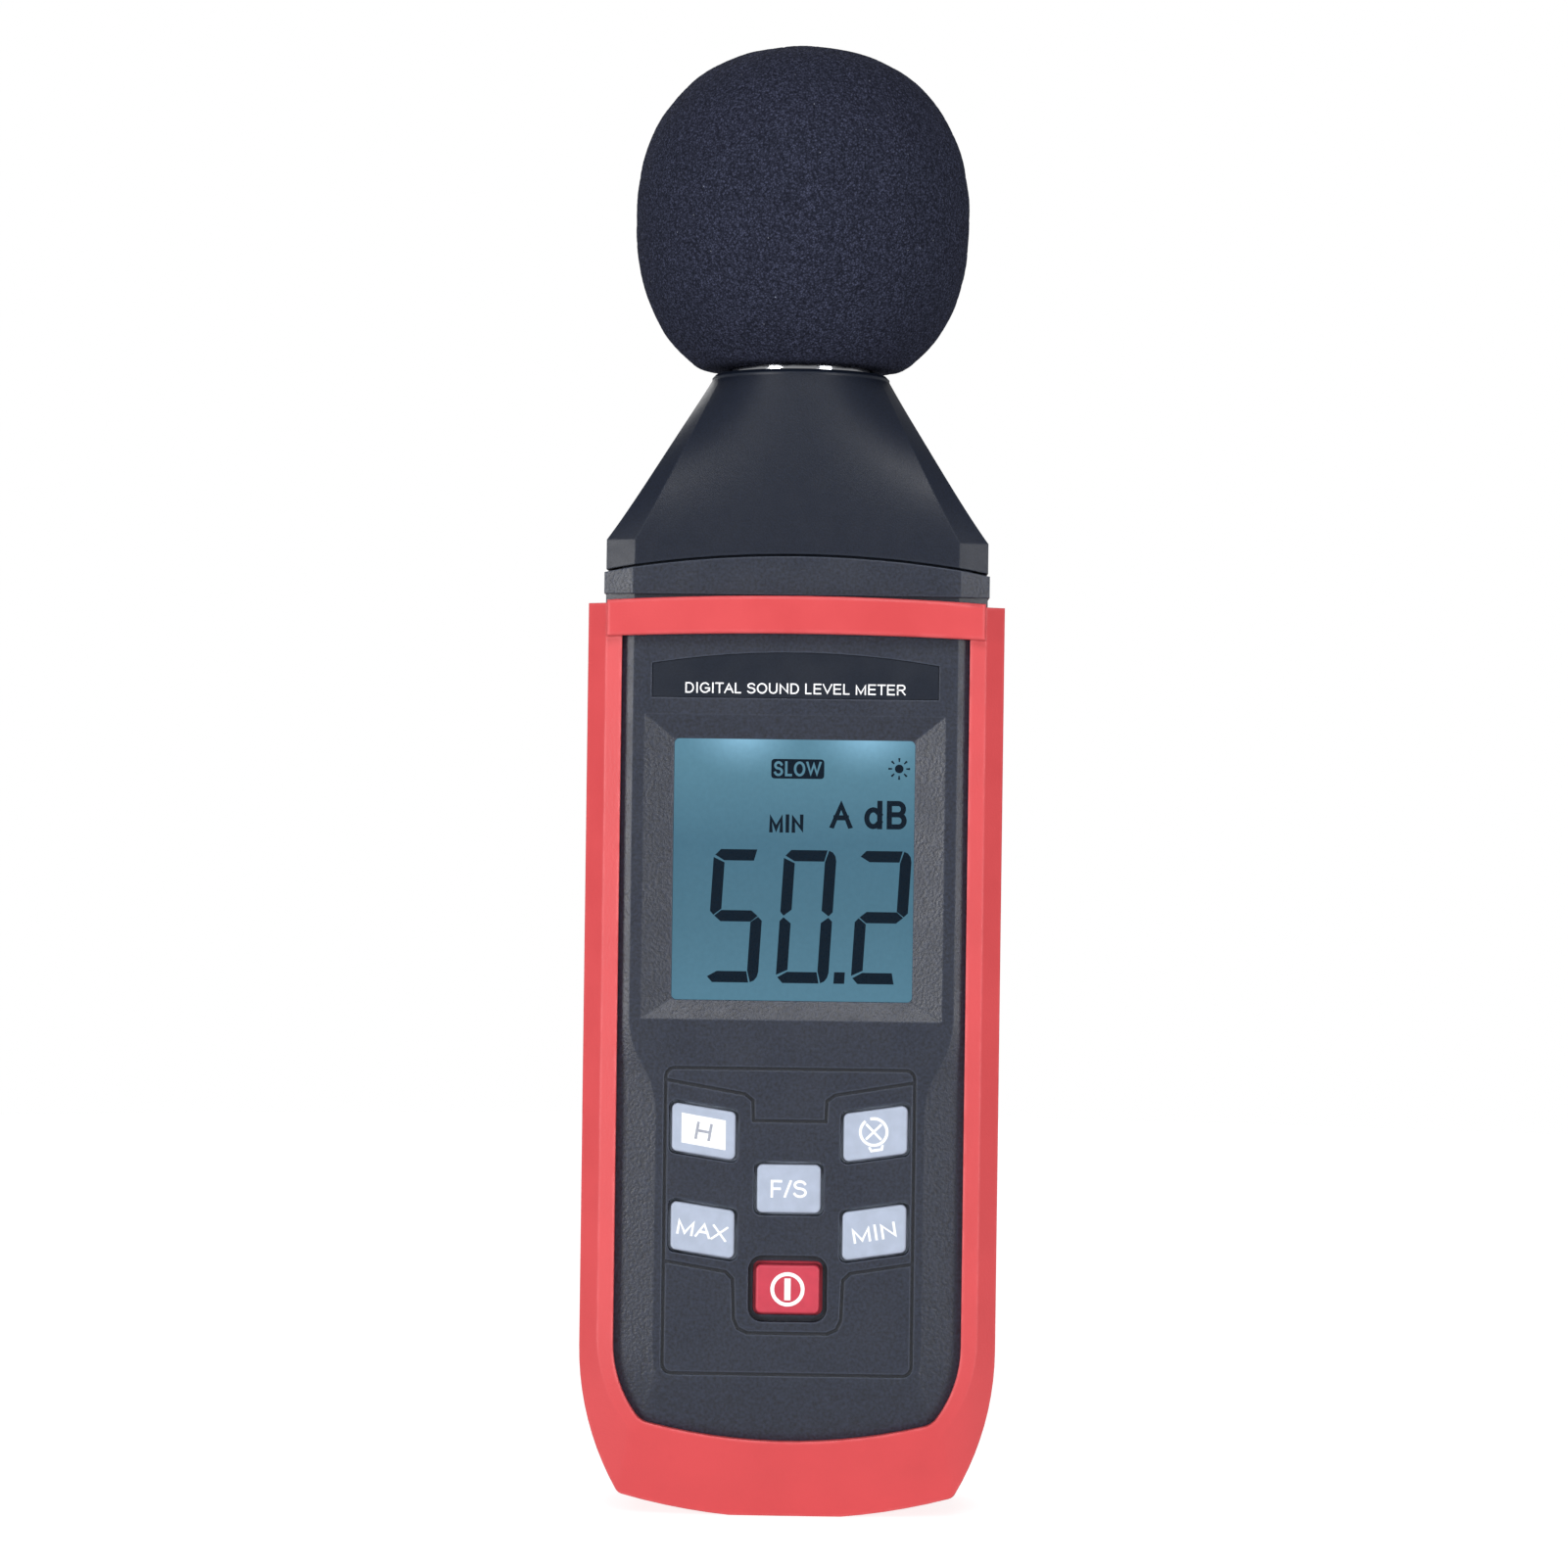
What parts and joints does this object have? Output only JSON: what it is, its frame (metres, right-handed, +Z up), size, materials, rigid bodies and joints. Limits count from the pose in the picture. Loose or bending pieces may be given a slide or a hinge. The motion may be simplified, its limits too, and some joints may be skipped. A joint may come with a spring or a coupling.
{
  "type": "sound level meter",
  "caption": "Handheld sound level meter: foam-covered microphone on a tapered head, backlit display, keypad, rubber boot and a battery bay at the back.",
  "frame": {"origin": "on the microphone axis at the foot of the boot, where the meter stands", "axes": "+Z up along the length towards the microphone, -Y out of the display and keys, +X to the right of someone reading it"},
  "size_m": [0.0576, 0.0468, 0.205],
  "materials": {
    "boot_rubber": "soft matte red rubber",
    "case_plastic": "fine spark-textured black ABS",
    "head_plastic": "fine spark-textured black ABS",
    "foam": "open-cell foam",
    "bright_metal": "polished plating",
    "tube_metal": "satin anodised",
    "brass": "turned brass",
    "screw_steel": "zinc-plated steel",
    "contact_steel": "nickel-plated spring steel",
    "key_grey": "satin silicone with printed legend",
    "key_red": "satin silicone with printed legend",
    "mat_silicone": "translucent grey silicone",
    "carbon_pill": "conductive rubber",
    "title_inlay": "printed film",
    "label_film": "blank silver film",
    "clear_window": "clear acrylic",
    "lcd_cell": "backlit display cell",
    "light_guide": "milky acrylic",
    "led_body": "white lamp package",
    "white_plastic": "white moulded plastic",
    "zebra_rubber": "layered conductive elastomer",
    "board_green": "solder-masked fibreglass",
    "chip_black": "moulded epoxy",
    "capacitor_can": "sleeved can",
    "trimmer_blue": "blue trimmer body",
    "cell_wrap": "plain wrapped steel cell",
    "bush_rubber": "black rubber",
    "wire_red": "insulated lead",
    "wire_black": "insulated lead"
  },
  "bodies": {
    "boot": {"boot": "boot_rubber"},
    "meter": {"front_case": "case_plastic", "rear_case": "case_plastic", "nose_cone": "head_plastic", "case_screws": "screw_steel", "nose_screws": "screw_steel", "board_screws": "screw_steel", "mic_bush": "bush_rubber", "mic_collar": "bright_metal", "mic_tube": "tube_metal", "mic_capsule": "tube_metal", "mic_insulator": "bush_rubber", "mic_grid": "tube_metal", "title_plate": "title_inlay", "keypad_mat": "mat_silicone", "contact_pills": "carbon_pill", "display_window": "clear_window", "lcd_glass": "lcd_cell", "lcd_frame": "white_plastic", "backlight_guide": "light_guide", "backlight_leds": "led_body", "zebra_strip": "zebra_rubber", "main_board": "board_green", "mcu_chip": "chip_black", "board_chips": "chip_black", "board_capacitors": "capacitor_can", "board_resistors": "chip_black", "crystal": "tube_metal", "calibration_trimmer": "trimmer_blue", "wire_headers": "white_plastic", "battery_contacts": "contact_steel", "battery_springs": "contact_steel", "tripod_insert": "brass", "rating_label": "label_film", "battery_1": "cell_wrap", "battery_2": "cell_wrap", "battery_3": "cell_wrap", "battery_wire_red": "wire_red", "battery_wire_black": "wire_black", "mic_cable": "wire_black"},
    "windscreen": {"windscreen": "foam"},
    "battery_door": {"battery_door": "case_plastic"},
    "trimmer_rotor": {"trimmer_rotor": "white_plastic"},
    "hold_key": {"hold_key": "key_grey"},
    "backlight_key": {"backlight_key": "key_grey"},
    "fast_slow_key": {"fast_slow_key": "key_grey"},
    "max_key": {"max_key": "key_grey"},
    "min_key": {"min_key": "key_grey"},
    "power_key": {"power_key": "key_red"}
  },
  "joints": [
    {"name": "meter_lift_out", "type": "slide", "parent": "boot", "child": "meter", "axis": [0, 0, 1], "range_m": [0, 0.13]},
    {"name": "windscreen_pull", "type": "slide", "parent": "meter", "child": "windscreen", "axis": [0, 0, 1], "range_m": [0, 0.03]},
    {"name": "battery_door_lift", "type": "slide", "parent": "meter", "child": "battery_door", "axis": [0, 1, 0], "range_m": [0, 0.03]},
    {"name": "trimmer_turn", "type": "hinge", "parent": "meter", "child": "trimmer_rotor", "pos_m": [0.014, -0.0012, 0.102], "axis": [0, 1, 0], "range_deg": [-130, 130]},
    {"name": "hold_press", "type": "slide", "parent": "meter", "child": "hold_key", "axis": [0, 1, 0], "range_m": [0, 0.0008], "stiffness_N_per_m": 600, "springref_m": -0.0005},
    {"name": "backlight_press", "type": "slide", "parent": "meter", "child": "backlight_key", "axis": [0, 1, 0], "range_m": [0, 0.0008], "stiffness_N_per_m": 600, "springref_m": -0.0005},
    {"name": "fast_slow_press", "type": "slide", "parent": "meter", "child": "fast_slow_key", "axis": [0, 1, 0], "range_m": [0, 0.0008], "stiffness_N_per_m": 600, "springref_m": -0.0005},
    {"name": "max_press", "type": "slide", "parent": "meter", "child": "max_key", "axis": [0, 1, 0], "range_m": [0, 0.0008], "stiffness_N_per_m": 600, "springref_m": -0.0005},
    {"name": "min_press", "type": "slide", "parent": "meter", "child": "min_key", "axis": [0, 1, 0], "range_m": [0, 0.0008], "stiffness_N_per_m": 600, "springref_m": -0.0005},
    {"name": "power_press", "type": "slide", "parent": "meter", "child": "power_key", "axis": [0, 1, 0], "range_m": [0, 0.0008], "stiffness_N_per_m": 600, "springref_m": -0.0005}
  ]
}
